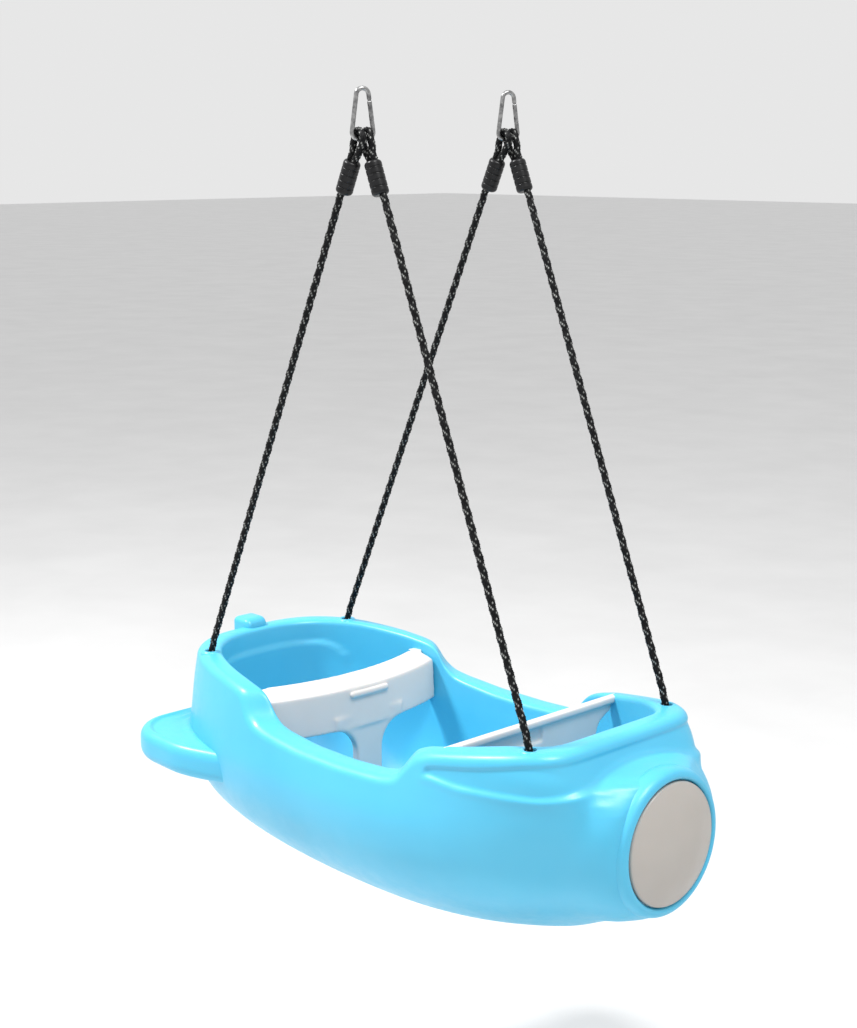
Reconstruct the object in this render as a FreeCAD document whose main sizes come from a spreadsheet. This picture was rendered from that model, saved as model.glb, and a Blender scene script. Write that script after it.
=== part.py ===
import FreeCAD, Part
import math
import os

# Toddler bucket swing in the shape of a small jet: a hollow moulded hull with a tub seat, hung on
# four ropes from two steel snap hooks. Millimetres. +X towards the nose, +Y towards the left side,
# +Z up. Shapes are drawn with z = 0 on the swing axis, the centre of the hooks' bottom wires, and
# every placement then lowers them by saddle_drop, so that the row's origin is the hanging point,
# midway between the inner tops of the two hooks.

DIMS = {
    # hull
    "hull_depth": 317.0,
    "rim_datum": -745.0,
    "rear_reach": 438.0,
    "front_reach": 421.0,
    "half_width": 221.0,
    "wall": 3.0,
    "tub_floor": -1000.0,
    # nose
    "nose_centre": -879.0,
    "nose_face": 424.0,
    "nose_ring": 92.0,
    "cap_radius": 82.5,
    "cap_bulge": 20.0,
    "cap_wall": 3.0,
    "cap_seat": 9.0,
    # tail
    "tail_reach": 438.0,
    "tail_half_span": 235.0,
    "tail_corner": 62.0,
    "tail_thick": 48.0,
    "tail_tilt": 3.0,
    "fin_thick": 38.0,
    # hanging
    "rear_hole": -344.9,
    "front_hole": 302.9,
    "hole_side": 136.6,
    "boss_top": -749.0,
    "boss_foot": -772.0,
    "boss_radius": 13.0,
    "bore_radius": 7.3,
    "rope_size": 9.5,
    "eye_radius": 10.0,
    "eye_spread": 5.1,
    "eye_turn": 10.0,
    "strand_gap": 5.0,
    "ferrule_start": 30.0,
    "ferrule_length": 46.0,
    "ferrule_radius": 11.5,
    "washer_radius": 11.0,
    "washer_hole": 5.1,
    "washer_thick": 2.0,
    "knot_radius": 10.5,
    # snap hooks
    "hook_turn": 22.0,
    "hook_wire": 6.0,
    "hook_bottom": 14.5,
    "hook_flat": 5.5,
    "hook_top": 8.5,
    "hook_rise": 64.0,
    "gate_foot": 23.0,
    "gate_head": 50.0,
    "pin_radius": 1.0,
    "pin_play": 0.05,
    # restraint bar
    "bar_axis": -591.0,
    "bar_back": 408.0,
    "bar_front": 447.0,
    "bar_top": -776.0,
    "bar_drop": 72.0,
    "bar_thick": 16.0,
    "stem_half": 25.0,
    # console panel
    "panel_back": 184.0,
    "panel_thick": 6.0,
    "panel_top": -767.0,
    "panel_foot": -935.0,
}

# Hull lines, one row per level from the rim down to the keel. Depth is a share of hull_depth, the
# reaches are shares of rear_reach and front_reach, the widths are shares of half_width, and the
# last number is the exponent that rounds the rear.
HULL_LINES = [
    (0.000, 0.968, 0.820, 0.891, 0.688, 3.1),
    (0.142, 0.979, 0.860, 0.928, 0.688, 3.1),
    (0.268, 0.991, 0.941, 0.964, 0.615, 3.0),
    (0.423, 1.000, 1.000, 1.000, 0.480, 2.9),
    (0.584, 0.990, 0.980, 0.964, 0.400, 2.7),
    (0.710, 0.950, 0.915, 0.864, 0.290, 2.5),
    (0.820, 0.840, 0.790, 0.700, 0.200, 2.3),
    (0.915, 0.630, 0.620, 0.490, 0.150, 2.1),
    (0.978, 0.390, 0.420, 0.270, 0.090, 2.0),
    (1.000, 0.240, 0.260, 0.120, 0.050, 2.0),
]

# Tub lines: level, rear reach, front reach, half width, half width at the front, rear exponent.
TUB_LINES = [
    (-700.0, 396.0, 316.0, 178.0, 119.0, 2.8),
    (-760.0, 392.0, 313.0, 176.0, 117.0, 2.8),
    (-850.0, 383.0, 305.0, 168.0, 111.0, 2.8),
    (-930.0, 358.0, 292.0, 153.0, 101.0, 2.7),
    (-975.0, 325.0, 276.0, 133.0, 86.0, 2.5),
    (-1000.0, 292.0, 258.0, 112.0, 70.0, 2.4),
]

# The rim from tail to nose: high round the back and the nose, low beside the child's legs.
RIM_LINE = [
    (-470, -746), (-345, -751), (-250, -760), (-205, -767), (-185, -772), (-174, -792), (-158, -805),
    (-125, -813), (-60, -818), (20, -820), (90, -816), (118, -812), (128, -796), (138, -778),
    (165, -772), (230, -762), (303, -751), (350, -748), (470, -746),
]

doc = FreeCAD.newDocument("bucket_swing")
sheet = doc.addObject("Spreadsheet::Sheet", "Dims")
for row, (alias, value) in enumerate(DIMS.items(), start=1):
    sheet.set("A%d" % row, alias)
    sheet.set("B%d" % row, str(value))
    sheet.setAlias("B%d" % row, alias)
doc.recompute()
parts = []


def dim(alias):
    return float(sheet.get(alias))


SADDLE_DROP = dim("hook_rise") - dim("hook_wire") / 2
LOWER = FreeCAD.Vector(0, 0, -SADDLE_DROP)
SIDES = {"right": -1, "left": 1}


def keep(obj, label, placement=None):
    """Names a finished sub-part and lowers it from the swing axis to the row's frame."""
    obj.Label = label
    move = FreeCAD.Placement(LOWER, FreeCAD.Rotation())
    obj.Placement = move.multiply(placement) if placement else move
    parts.append(obj)
    return obj


def shaped(label, shape):
    obj = doc.addObject("Part::Feature", label)
    obj.Shape = shape
    return keep(obj, label)


def primitive(kind, name, sizes, at=(0, 0, 0), turn=None):
    obj = doc.addObject("Part::" + kind, name)
    for prop, expression in sizes.items():
        obj.setExpression(prop, expression)
    obj.Placement = FreeCAD.Placement(FreeCAD.Vector(*at), turn or FreeCAD.Rotation())
    return obj


def combine(kind, name, base, tool):
    obj = doc.addObject("Part::" + kind, name)
    obj.Base = base
    obj.Tool = tool
    return obj


ALONG_X = FreeCAD.Rotation(FreeCAD.Vector(0, 0, 1), FreeCAD.Vector(1, 0, 0))


# ---- closed outlines ------------------------------------------------------------------------

def half_breadth(x, rear, front, half, nose, power):
    """Half width of an outline at x: rounded at the rear, tapered to a squarer nose."""
    if x < 0:
        share = min(1.0, -x / rear)
        return half * (1 - share ** power) ** (1 / power)
    share = min(1.0, x / front)
    return (half - (half - nose) * share ** 2.5) * (1 - share ** 12) ** (1 / 12)


def outline_point(angle, lines):
    """Where a ray from the centre at this angle meets the outline."""
    cosine, sine = math.cos(angle), abs(math.sin(angle))
    near, far = 0.0, 600.0
    for _ in range(40):
        reach = (near + far) / 2
        x = reach * cosine
        inside = -lines[0] < x < lines[1] and reach * sine < half_breadth(x, *lines)
        near, far = (reach, far) if inside else (near, reach)
    return near * cosine, math.copysign(near * sine, math.sin(angle))


def outline_wire(level, lines, grow, count=28):
    rear, front, half, nose, power = lines
    grown = (rear + grow, front + grow, half + grow, nose + grow, power)
    points = []
    for step in range(count):
        x, y = outline_point(2 * math.pi * (step + 0.5) / count, grown)
        points.append(FreeCAD.Vector(x, y, level))
    curve = Part.BSplineCurve()
    curve.interpolate(Points=points, PeriodicFlag=True)
    return Part.Wire(curve.toShape())


def hull_rows():
    rows = []
    for depth, rear, front, half, nose, power in HULL_LINES:
        level = dim("rim_datum") - depth * dim("hull_depth")
        rows.append((level, rear * dim("rear_reach"), front * dim("front_reach"),
                     half * dim("half_width"), nose * dim("half_width"), power))
    return rows


def lofted(rows, grow, lift=0.0):
    wires = [outline_wire(row[0] + lift, row[1:], grow) for row in rows]
    return Part.makeLoft(wires, True, False)


# ---- hull -----------------------------------------------------------------------------------

def rim_cutter(lift):
    """Everything above the rim line, moved down by lift."""
    poles = [FreeCAD.Vector(x, 0, z - lift) for x, z in RIM_LINE]
    curve = Part.BSplineCurve()
    curve.buildFromPoles(poles, False, 3)
    corners = [poles[-1], FreeCAD.Vector(poles[-1].x, 0, -600), FreeCAD.Vector(poles[0].x, 0, -600),
               poles[0]]
    edges = [curve.toShape()]
    edges += [Part.makeLine(a, b) for a, b in zip(corners, corners[1:])]
    face = Part.Face(Part.Wire(edges))
    face.translate(FreeCAD.Vector(0, -400, 0))
    return face.extrude(FreeCAD.Vector(0, 800, 0))


def tail_plate(inset):
    """Flat tail across the back of the hull, with rounded corners and edges."""
    reach, half = dim("tail_reach") - inset, dim("tail_half_span") - inset
    corner, thick = dim("tail_corner") - inset, dim("tail_thick") - 2 * inset
    front = -200.0
    plate = Part.makeBox(reach + front, 2 * half, thick, FreeCAD.Vector(-reach, -half, -thick))
    upright = [e for e in plate.Edges if abs(e.BoundBox.ZLength - thick) < 0.01]
    rear = [e for e in upright if e.BoundBox.XMax < -reach + 1]
    ahead = [e for e in upright if e.BoundBox.XMin > front - 1]
    plate = plate.makeFillet(corner, rear).makeFillet(corner * 0.4, ahead)
    lips = [e for e in plate.Edges if e.BoundBox.ZLength < 0.01]
    plate = plate.makeFillet(thick * 0.36, lips)
    plate.rotate(FreeCAD.Vector(0, 0, 0), FreeCAD.Vector(0, 1, 0), dim("tail_tilt"))
    plate.translate(FreeCAD.Vector(0, 0, -884.0 - inset))
    return plate


def fin():
    """Upright fin behind the backrest, standing on the tail."""
    half = dim("fin_thick") / 2
    block = Part.makeBox(60, 2 * half, 150, FreeCAD.Vector(-dim("tail_reach"), -half, -885))
    return block.makeFillet(10, [e for e in block.Edges if e.BoundBox.XMax < -dim("tail_reach") + 61])


def nose_cone(inset):
    ahead = FreeCAD.Vector(1, 0, 0)
    start, face = 320.0, dim("nose_face") - (dim("cap_seat") + inset if inset else 0)
    ring = dim("nose_ring") - inset
    foot = FreeCAD.Vector(start, 0, dim("nose_centre"))
    return Part.makeCone(ring + 26, ring, face - start, foot, ahead)


def at_bosses(make):
    shapes = []
    for x in (dim("rear_hole"), dim("front_hole")):
        for side in SIDES.values():
            shapes.append(make(x, side * dim("hole_side")))
    return shapes


def boss(x, y):
    height = dim("boss_top") - dim("boss_foot")
    return Part.makeCylinder(dim("boss_radius"), height, FreeCAD.Vector(x, y, dim("boss_foot")))


def bore(x, y):
    return Part.makeCylinder(dim("bore_radius"), 60, FreeCAD.Vector(x, y, dim("boss_foot") - 5))


def at_notches(make):
    return [make(side, *place) for side in SIDES.values() for place in NOTCHES]


def span_box(side, back, length, inner, width, foot, height):
    """A box on one side of the hull, from inner to inner + width away from the middle."""
    low = min(side * inner, side * (inner + width))
    return Part.makeBox(length, width, height, FreeCAD.Vector(back, low, foot))


# Pockets in the rim for the restraint bar's tabs and for the console's: back, length, outer side
# and floor of each.
NOTCHES = [(-222, 24, 171, -780.3), (180.7, 14.6, 172.3, -777)]


def notch_pad(side, back, length, outer, floor):
    return span_box(side, back - 6, length + 12, outer - 14, 18, floor - 7, 18)


def notch(side, back, length, outer, floor):
    return span_box(side, back, length, outer - 16, 16, floor, 60)


def hull():
    rows = hull_rows()
    outer = lofted(rows, 0).cut(rim_cutter(0))
    outer = outer.fuse([nose_cone(0), tail_plate(0), fin()])
    wall = dim("wall")
    tub = lofted(TUB_LINES, 0)
    thick_tub = lofted(TUB_LINES, wall, -wall)
    hollow = lofted(rows, -wall, wall).cut(rim_cutter(wall))
    hollow = hollow.fuse([nose_cone(wall), tail_plate(wall)])
    hollow = hollow.cut(thick_tub)
    hollow = hollow.cut(Part.makeCompound(at_bosses(boss)))
    hollow = hollow.cut(Part.makeCompound(at_notches(notch_pad)))
    shell = outer.fuse(at_bosses(boss)).cut(tub)
    shell = shell.cut(hollow)
    seat = Part.makeCylinder(dim("cap_radius") + 0.5, 40,
                             FreeCAD.Vector(dim("nose_face") - dim("cap_seat"), 0, dim("nose_centre")),
                             FreeCAD.Vector(1, 0, 0))
    shell = shell.cut([seat] + at_bosses(bore) + at_notches(notch))
    shell = shell.removeSplitter()
    return shell.Solids[0] if len(shell.Solids) == 1 else shell


shaped("hull_shell", hull())


# ---- nose cap: a domed shell that plugs into the ring at the front ------------------------------

def nose_cap():
    face, middle = dim("nose_face"), dim("nose_centre")
    ball = "(Dims.cap_radius ^ 2 + Dims.cap_bulge ^ 2) / (2 * Dims.cap_bulge)"
    ball_radius = (dim("cap_radius") ** 2 + dim("cap_bulge") ** 2) / (2 * dim("cap_bulge"))
    centre = (face + dim("cap_bulge") - ball_radius, 0, middle)
    start = (face - dim("cap_seat") + 0.5, 0, middle)
    dome = primitive("Sphere", "dome", {"Radius": ball}, centre)
    drum = primitive("Cylinder", "drum", {"Radius": "Dims.cap_radius", "Height": "60"}, start, ALONG_X)
    inner_ball = primitive("Sphere", "inner_ball", {"Radius": ball + " - Dims.cap_wall"}, centre)
    inner_drum = primitive("Cylinder", "inner_drum",
                           {"Radius": "Dims.cap_radius - Dims.cap_wall", "Height": "60"}, start, ALONG_X)
    outside = combine("Common", "cap_outside", dome, drum)
    inside = combine("Common", "cap_inside", inner_ball, inner_drum)
    keep(combine("Cut", "cap", outside, inside), "nose_cap")


nose_cap()


# ---- front console: a panel across the tub with a rolled lip along its top ----------------------

def plane_sketch(body, name, role, height=0.0):
    sketch = body.newObject("Sketcher::SketchObject", name)
    plane = next(f for f in body.Origin.OriginFeatures if f.Role == role)
    sketch.AttachmentSupport = (plane, [""])
    sketch.MapMode = "FlatFace"
    sketch.AttachmentOffset = FreeCAD.Placement(FreeCAD.Vector(0, 0, height), FreeCAD.Rotation())
    return sketch


def closed_outline(sketch, corners):
    points = [FreeCAD.Vector(u, v, 0) for u, v in corners]
    for a, b in zip(points, points[1:] + points[:1]):
        sketch.addGeometry(Part.LineSegment(a, b), False)


def front_console():
    body = doc.addObject("PartDesign::Body", "ConsoleBody")
    foot = dim("panel_foot") - dim("panel_top")
    half = [(157, 0), (155, -21), (148, -23), (133, -32), (127, -42), (122, -70), (100, foot)]
    sheet_sketch = plane_sketch(body, "panel_outline", "YZ_Plane")
    closed_outline(sheet_sketch, half + [(-u, v) for u, v in reversed(half)])
    panel = body.newObject("PartDesign::Pad", "panel")
    panel.Profile = sheet_sketch
    panel.setExpression("Length", "Dims.panel_thick")
    doc.recompute()
    lip_sketch = plane_sketch(body, "lip_outline", "YZ_Plane", -3.0)
    closed_outline(lip_sketch, [(172, 0), (172, -9.8), (-172, -9.8), (-172, 0)])
    lip = body.newObject("PartDesign::Pad", "lip")
    lip.Profile = lip_sketch
    lip.setExpression("Length", "Dims.panel_thick + 8")
    doc.recompute()
    recess_sketch = plane_sketch(body, "recess_outline", "YZ_Plane", dim("panel_thick"))
    closed_outline(recess_sketch, [(12, -13), (12, -33), (-94, -33), (-94, -13)])
    recess = body.newObject("PartDesign::Pocket", "recess")
    recess.Profile = recess_sketch
    recess.Length = 4.0
    doc.recompute()
    keep(body, "front_console",
         FreeCAD.Placement(FreeCAD.Vector(dim("panel_back"), 0, dim("panel_top")), FreeCAD.Rotation()))


front_console()


# ---- restraint bar: a curved bar across the lap with a stem between the legs --------------------

def t_bar():
    axis, back, front = dim("bar_axis"), dim("bar_back"), dim("bar_front")
    top, drop, thick = dim("bar_top"), dim("bar_drop"), dim("bar_thick")
    section = [(back, top), (front, top - 12), (front + 6, top - drop), (front + 6 - thick, top - drop),
               (front - thick, top - 26), (back, top - 9)]
    corners = [FreeCAD.Vector(axis + reach, 0, z) for reach, z in section]
    face = Part.Face(Part.makePolygon(corners + corners[:1]))
    pivot, upright = FreeCAD.Vector(axis, 0, 0), FreeCAD.Vector(0, 0, 1)
    face.rotate(pivot, upright, -30)
    wings = face.revolve(pivot, upright, 60)
    half, fillet = dim("stem_half"), 42.0
    crotch, floor = top - drop, dim("tub_floor") + 0.5
    shoulder = half + fillet
    mid = fillet * (1 - math.sqrt(0.5))
    right = [FreeCAD.Vector(0, shoulder, crotch + 20), FreeCAD.Vector(0, shoulder, crotch)]
    edges = [Part.makeLine(right[0], right[1]),
             Part.Arc(right[1], FreeCAD.Vector(0, half + mid, crotch - mid),
                      FreeCAD.Vector(0, half, crotch - fillet)).toShape(),
             Part.makeLine(FreeCAD.Vector(0, half, crotch - fillet), FreeCAD.Vector(0, half, floor))]
    outline = Part.Wire(edges)
    mirrored = outline.mirror(FreeCAD.Vector(0, 0, 0), FreeCAD.Vector(0, 1, 0))
    base = Part.makeLine(FreeCAD.Vector(0, half, floor), FreeCAD.Vector(0, -half, floor))
    head = Part.makeLine(right[0], FreeCAD.Vector(0, -shoulder, crotch + 20))
    loop = Part.Wire(Part.__sortEdges__(outline.Edges + [base] + mirrored.Edges + [head]))
    stem = Part.Face(loop).extrude(FreeCAD.Vector(-(thick - 2), 0, 0))
    stem.translate(FreeCAD.Vector(axis + front + 3, 0, 0))
    room = lofted(TUB_LINES, -1.5)
    bar = wings.fuse(stem).common(room)
    tabs = [span_box(side, -220, 20, 150, 19, -780, 8) for side in SIDES.values()]
    grip = Part.makeCylinder(4, 72, FreeCAD.Vector(axis + front, -36, top - 22), FreeCAD.Vector(0, 1, 0))
    return bar.fuse(tabs + [grip]).removeSplitter()


shaped("t_bar", t_bar())


# ---- snap hooks: pear-shaped wire, wide end down, with a sprung gate ----------------------------

HOOK_TURN = FreeCAD.Rotation(FreeCAD.Vector(0, 0, 1), 90 - dim("hook_turn"))
WIRE = dim("hook_wire") / 2


def hook_place(side):
    return FreeCAD.Placement(FreeCAD.Vector(0, side * dim("hole_side"), 0), HOOK_TURN)


def hook_side():
    """Unit direction up the hook's gate side, and the two points where its bows begin."""
    flat, high = dim("hook_flat"), dim("hook_top")
    low = dim("hook_bottom") - flat
    rise = dim("hook_rise") - low - high
    lean = math.atan2(flat, rise) + math.asin((low - high) / math.hypot(flat, rise))
    up = FreeCAD.Vector(-math.sin(lean), 0, math.cos(lean))
    foot = FreeCAD.Vector(flat + low * math.cos(lean), 0, low + low * math.sin(lean))
    head = FreeCAD.Vector(high * math.cos(lean), 0, dim("hook_rise") - high + high * math.sin(lean))
    return up, foot, head


def side_point(height):
    up, foot, _ = hook_side()
    return foot + up * ((height - foot.z) / up.z)


def flip(point):
    return FreeCAD.Vector(-point.x, point.y, point.z)


def bow_middle(foot):
    """Middle of the lower bow's arc, between the flat bottom and the straight side."""
    radius = dim("hook_bottom") - dim("hook_flat")
    centre = FreeCAD.Vector(dim("hook_flat"), 0, radius)
    toward = (foot - centre).normalize() + FreeCAD.Vector(0, 0, -1)
    return centre + toward.normalize() * radius


def blade(start, direction, length, thick, width):
    """Flat tongue in the plane of the hook, from start along direction."""
    box = Part.makeBox(width, thick, length, FreeCAD.Vector(-width / 2, -thick / 2, 0))
    box.Placement = FreeCAD.Placement(start, FreeCAD.Rotation(FreeCAD.Vector(0, 0, 1), direction))
    return box


def pivot_point():
    up, _, _ = hook_side()
    return side_point(dim("gate_head")) - up * 4.0


def pivot_bore(radius, length):
    return Part.makeCylinder(radius, length, pivot_point() - FreeCAD.Vector(0, length / 2, 0),
                             FreeCAD.Vector(0, 1, 0))


def hook_frame():
    up, foot, head = hook_side()
    start, finish = side_point(dim("gate_foot")), side_point(dim("gate_head"))
    flat = FreeCAD.Vector(dim("hook_flat"), 0, 0)
    edges = [Part.makeLine(start, foot),
             Part.Arc(foot, bow_middle(foot), flat).toShape(),
             Part.makeLine(flat, flip(flat)),
             Part.Arc(flip(flat), flip(bow_middle(foot)), flip(foot)).toShape(),
             Part.makeLine(flip(foot), flip(head)),
             Part.Arc(flip(head), FreeCAD.Vector(0, 0, dim("hook_rise")), head).toShape(),
             Part.makeLine(head, finish)]
    section = Part.Wire(Part.makeCircle(WIRE, start, up))
    wire = Part.Wire(edges).makePipeShell([section], True, False)
    tongues = [blade(start - up, up, 7.0, 2.0, 4.4), blade(finish + up, up * -1, 7.6, 2.0, 4.4)]
    frame = wire.fuse(tongues)
    return frame.cut(pivot_bore(dim("pin_radius") + dim("pin_play"), 12))


def hook_gate():
    up, _, _ = hook_side()
    foot = side_point(dim("gate_foot")) + up * 0.4
    pivot = pivot_point()
    length = (pivot - foot).Length
    rod = Part.makeCylinder(WIRE, length, foot, up).fuse(Part.makeSphere(WIRE, pivot))
    low_slot = blade(foot - up, up, 8.2, 2.6, 12)
    high_slot = blade(pivot + up * 5, up * -1, 9.6, 2.6, 12)
    spring_bore = Part.makeCylinder(1.3, 14, pivot - up * 17, up)
    return rod.cut([low_slot, high_slot, spring_bore,
                    pivot_bore(dim("pin_radius") + dim("pin_play"), 12)])


def hook_pin(suffix):
    pin = primitive("Cylinder", "pin_" + suffix,
                    {"Radius": "Dims.pin_radius", "Height": "Dims.hook_wire - 0.4"})
    turn = FreeCAD.Rotation(FreeCAD.Vector(0, 0, 1), FreeCAD.Vector(0, 1, 0))
    start = pivot_point() - FreeCAD.Vector(0, WIRE - 0.2, 0)
    place = hook_place(SIDES[suffix]).multiply(FreeCAD.Placement(start, turn))
    keep(pin, "hook_pin_" + suffix, place)


def hook_spring(suffix):
    up, _, _ = hook_side()
    coil = primitive("Cylinder", "coil_" + suffix, {"Radius": "1.2", "Height": "11"})
    core = primitive("Cylinder", "core_" + suffix, {"Radius": "0.8", "Height": "11"})
    turn = FreeCAD.Rotation(FreeCAD.Vector(0, 0, 1), up)
    place = hook_place(SIDES[suffix]).multiply(FreeCAD.Placement(pivot_point() - up * 16.5, turn))
    keep(combine("Cut", "spring_" + suffix, coil, core), "hook_spring_" + suffix, place)


for suffix, side in SIDES.items():
    for label, make in (("hook_frame_", hook_frame), ("hook_gate_", hook_gate)):
        obj = doc.addObject("Part::Feature", label + suffix)
        obj.Shape = make()
        keep(obj, label + suffix, hook_place(side))
    hook_pin(suffix)
    hook_spring(suffix)


# ---- ropes, with their ferrules, washers and stopper knots --------------------------------------

def rope_axes(end, side):
    """Eye centre on the hook's wire, and unit vectors: down the ferrule, out across its two
    strands, and the same two for the eye, which lies in an upright plane of its own."""
    turn, spread = math.radians(dim("hook_turn")), dim("eye_spread")
    along = FreeCAD.Vector(math.sin(turn), math.cos(turn), 0)
    eye = FreeCAD.Vector(0, side * dim("hole_side"), 0) + along * (end * spread)
    turn = math.radians(dim("eye_turn"))
    facing = FreeCAD.Vector(math.sin(turn), math.cos(turn), 0) * end
    reach = rope_hole(end, side) - eye
    out = facing.cross(reach).normalize() * -1
    down = (reach - out * dim("strand_gap")).normalize()
    out = (out - down * out.dot(down)).normalize()
    drop = (down - facing * down.dot(facing)).normalize()
    return eye, down, out, drop, facing.cross(drop) * -1


def rope_hole(end, side):
    x = dim("front_hole") if end > 0 else dim("rear_hole")
    return FreeCAD.Vector(x, side * dim("hole_side"), dim("boss_top") - 2)


def rope_route(end, side):
    eye, down, out, drop, wide = rope_axes(end, side)
    hole = rope_hole(end, side)
    knot = FreeCAD.Vector(hole.x, hole.y, dim("boss_foot") - dim("washer_thick"))
    gap, bend = dim("strand_gap"), dim("eye_radius")
    gather = dim("ferrule_start") - 8
    return [
        knot,
        hole,
        eye + down * gather + out * gap,
        eye + drop * 7 + wide * bend,
        eye - drop * bend + wide * bend,
        eye - drop * bend - wide * bend,
        eye + drop * 7 - wide * bend,
        eye + down * gather - out * gap,
        eye + down * (dim("ferrule_start") + dim("ferrule_length") - 5) - out * gap,
    ]


def bend_radius(route, index):
    """Tangent arc at one corner: the eye's own size where it goes round the hook."""
    if index in (4, 5):
        return dim("eye_radius")
    before, after = route[index] - route[index - 1], route[index + 1] - route[index]
    return 0.45 * min(before.Length, after.Length) / math.tan(before.getAngle(after) / 2)


def rope_path(route):
    edges, cursor = [], route[0]
    for index in range(1, len(route) - 1):
        corner = route[index]
        before = (corner - route[index - 1]).normalize()
        after = (route[index + 1] - corner).normalize()
        half_turn = before.getAngle(after) / 2
        radius = bend_radius(route, index)
        start = corner - before * (radius * math.tan(half_turn))
        finish = corner + after * (radius * math.tan(half_turn))
        middle = corner + (after - before).normalize() * (radius / math.cos(half_turn) - radius)
        if (start - cursor).Length > 0.001:
            edges.append(Part.LineSegment(cursor, start).toShape())
        edges.append(Part.Arc(start, middle, finish).toShape())
        cursor = finish
    edges.append(Part.LineSegment(cursor, route[-1]).toShape())
    return Part.Wire(edges)


def rope(label, end, side):
    route = rope_route(end, side)
    path = rope_path(route)
    start = (route[1] - route[0]).normalize()
    section = Part.Wire(Part.makeCircle(dim("rope_size") / 2, route[0], start))
    tube = path.makePipeShell([section], True, False)
    radii = [round(bend_radius(route, index), 1) for index in range(1, len(route) - 1)]
    ideal = path.Length * math.pi * dim("rope_size") ** 2 / 4
    print(label, "length", round(path.Length), "radii", radii, "volume", round(tube.Volume / ideal, 4))
    shaped(label, tube)


def ferrule(name, end, side):
    """Clamped sleeve over the two strands: rounded ends, ring grooves, one open and one blind bore."""
    eye, down, out, _, _ = rope_axes(end, side)
    sleeve = primitive("Cylinder", "sleeve_" + name,
                       {"Radius": "Dims.ferrule_radius", "Height": "Dims.ferrule_length"})
    doc.recompute()
    rounded = doc.addObject("Part::Fillet", "rounded_" + name)
    rounded.Base = sleeve
    rims = [i + 1 for i, e in enumerate(sleeve.Shape.Edges) if abs(e.BoundBox.ZLength) < 0.01]
    rounded.Edges = [(index, 4.5, 4.5) for index in rims]
    body = rounded
    for count in range(4):
        height = 10.0 + count * 8.7
        groove = primitive("Torus", "groove_%d_%s" % (count, name),
                           {"Radius1": "Dims.ferrule_radius + 0.4", "Radius2": "1.3"}, (0, 0, height))
        body = combine("Cut", "grooved_%d_%s" % (count, name), body, groove)
    gap, room = dim("strand_gap"), "Dims.rope_size / 2 + 0.25"
    through = primitive("Cylinder", "through_" + name,
                        {"Radius": room, "Height": "Dims.ferrule_length + 2"}, (gap, 0, -1))
    blind = primitive("Cylinder", "blind_" + name,
                      {"Radius": room, "Height": "Dims.ferrule_length"}, (-gap, 0, 3.5))
    body = combine("Cut", "open_" + name, body, through)
    body = combine("Cut", "bored_" + name, body, blind)
    base = eye + down * (dim("ferrule_start") + dim("ferrule_length"))
    turn = FreeCAD.Rotation(out, FreeCAD.Vector(0, 0, 0), down * -1, "ZXY")
    keep(body, "ferrule_" + name, FreeCAD.Placement(base, turn))


def washer(name, end, side):
    hole = rope_hole(end, side)
    disc = primitive("Cylinder", "disc_" + name,
                     {"Radius": "Dims.washer_radius", "Height": "Dims.washer_thick"})
    eyelet = primitive("Cylinder", "eyelet_" + name,
                       {"Radius": "Dims.washer_hole", "Height": "Dims.washer_thick"})
    foot = FreeCAD.Vector(hole.x, hole.y, dim("boss_foot") - dim("washer_thick"))
    keep(combine("Cut", "washer_" + name, disc, eyelet), "washer_" + name,
         FreeCAD.Placement(foot, FreeCAD.Rotation()))


def knot(name, end, side):
    hole = rope_hole(end, side)
    level = dim("boss_foot") - dim("washer_thick") - dim("knot_radius")
    ball = primitive("Sphere", "ball_" + name, {"Radius": "Dims.knot_radius"})
    keep(ball, "knot_" + name,
         FreeCAD.Placement(FreeCAD.Vector(hole.x, hole.y, level), FreeCAD.Rotation()))


for end_name, end in (("rear", -1), ("front", 1)):
    for side_name, side in SIDES.items():
        name = end_name + "_" + side_name
        rope("rope_" + name, end, side)
        ferrule(name, end, side)
        washer(name, end, side)
        knot(name, end, side)


# ---- check and write ----------------------------------------------------------------------------

doc.recompute()
for obj in doc.Objects:
    if "Invalid" in obj.State or "Error" in obj.State:
        raise RuntimeError("%s failed to build: %s" % (obj.Name, obj.State))
os.makedirs("parts", exist_ok=True)
for obj in parts:
    shape = obj.Shape
    if shape.isNull() or not shape.isValid():
        raise RuntimeError("%s has no valid shape" % obj.Label)
    box = shape.BoundBox
    print("%-22s %d solid %8.1f cm3  x %6.1f %6.1f  y %6.1f %6.1f  z %7.1f %7.1f" % (
        obj.Label, len(shape.Solids), shape.Volume / 1000,
        box.XMin, box.XMax, box.YMin, box.YMax, box.ZMin, box.ZMax))
    shape.exportStep(os.path.join("parts", obj.Label + ".step"))
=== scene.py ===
import math
import bmesh
import bpy
import numpy as np
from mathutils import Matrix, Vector


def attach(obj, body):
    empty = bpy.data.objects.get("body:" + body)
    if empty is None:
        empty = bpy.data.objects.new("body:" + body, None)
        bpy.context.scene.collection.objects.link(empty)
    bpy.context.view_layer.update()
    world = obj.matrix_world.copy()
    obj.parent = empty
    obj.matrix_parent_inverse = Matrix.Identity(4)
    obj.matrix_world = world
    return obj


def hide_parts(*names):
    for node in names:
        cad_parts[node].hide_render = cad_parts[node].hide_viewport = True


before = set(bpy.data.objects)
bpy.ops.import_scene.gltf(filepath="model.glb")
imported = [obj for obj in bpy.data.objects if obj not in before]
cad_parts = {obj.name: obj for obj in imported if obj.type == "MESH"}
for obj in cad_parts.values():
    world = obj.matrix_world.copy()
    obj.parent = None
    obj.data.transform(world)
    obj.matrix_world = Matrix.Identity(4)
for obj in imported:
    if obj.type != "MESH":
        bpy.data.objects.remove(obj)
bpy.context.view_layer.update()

mm = 0.001
saddleDrop = 61.0   # the swing axis lies this far under the hanging point
print("stage: frame loaded")


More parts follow.
